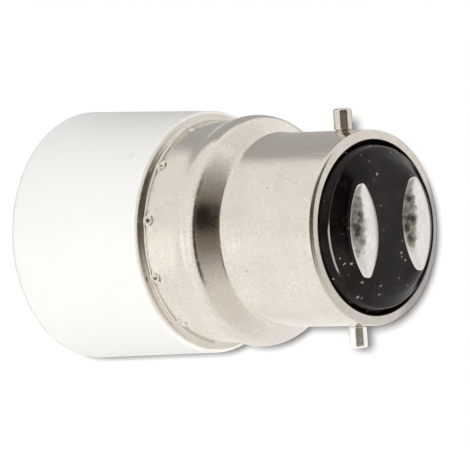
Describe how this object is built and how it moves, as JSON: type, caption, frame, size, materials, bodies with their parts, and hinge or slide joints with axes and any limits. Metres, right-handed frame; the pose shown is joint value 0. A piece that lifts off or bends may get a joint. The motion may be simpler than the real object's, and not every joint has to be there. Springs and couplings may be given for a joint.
{
  "type": "lamp socket adapter",
  "caption": "Round lamp socket adapter: a drawn metal bayonet cap with side pins and end contacts on a white moulded holder with a small screw socket and a sprung centre contact.",
  "frame": {"origin": "centre of the white body's mouth face, which the adapter stands on", "axes": "+Z along the lamp axis from the screw socket's mouth to the bayonet cap's contacts, +X through one bayonet pin, +Y through the live contact"},
  "size_m": [0.0284, 0.0284, 0.0458],
  "materials": {
    "white_moulding": "satin",
    "nickel_plate": "polished",
    "nickel_pin": "satin",
    "black_moulding": "gloss",
    "contact_brass": "satin",
    "solder": "satin",
    "shell_plate": "satin",
    "spring_bronze": "satin",
    "rivet_brass": "satin",
    "lead_copper": "satin",
    "sleeve": "matte"
  },
  "bodies": {
    "adapter": {"socket_body": "white_moulding", "cap_shell": "nickel_plate", "bayonet_pin_right": "nickel_pin", "bayonet_pin_left": "nickel_pin", "insulator": "black_moulding", "live_contact_plate": "contact_brass", "neutral_contact_plate": "contact_brass", "live_contact_solder": "solder", "neutral_contact_solder": "solder", "screw_shell": "shell_plate", "centre_rivet": "rivet_brass", "shell_rivet": "rivet_brass", "neutral_rivet": "rivet_brass", "live_tag": "contact_brass", "neutral_tag": "contact_brass", "live_lead": "lead_copper", "neutral_lead": "lead_copper", "live_sleeve": "sleeve", "neutral_sleeve": "sleeve"},
    "contact_leaf": {"centre_contact": "spring_bronze"}
  },
  "joints": [
    {"name": "centre_contact_flex", "type": "hinge", "parent": "adapter", "child": "contact_leaf", "pos_m": [0.0024, 0, 0.02035], "axis": [0, 1, 0], "range_deg": [0, 14], "stiffness_Nm_per_rad": 0.14, "deforming": ["centre_contact"]}
  ]
}
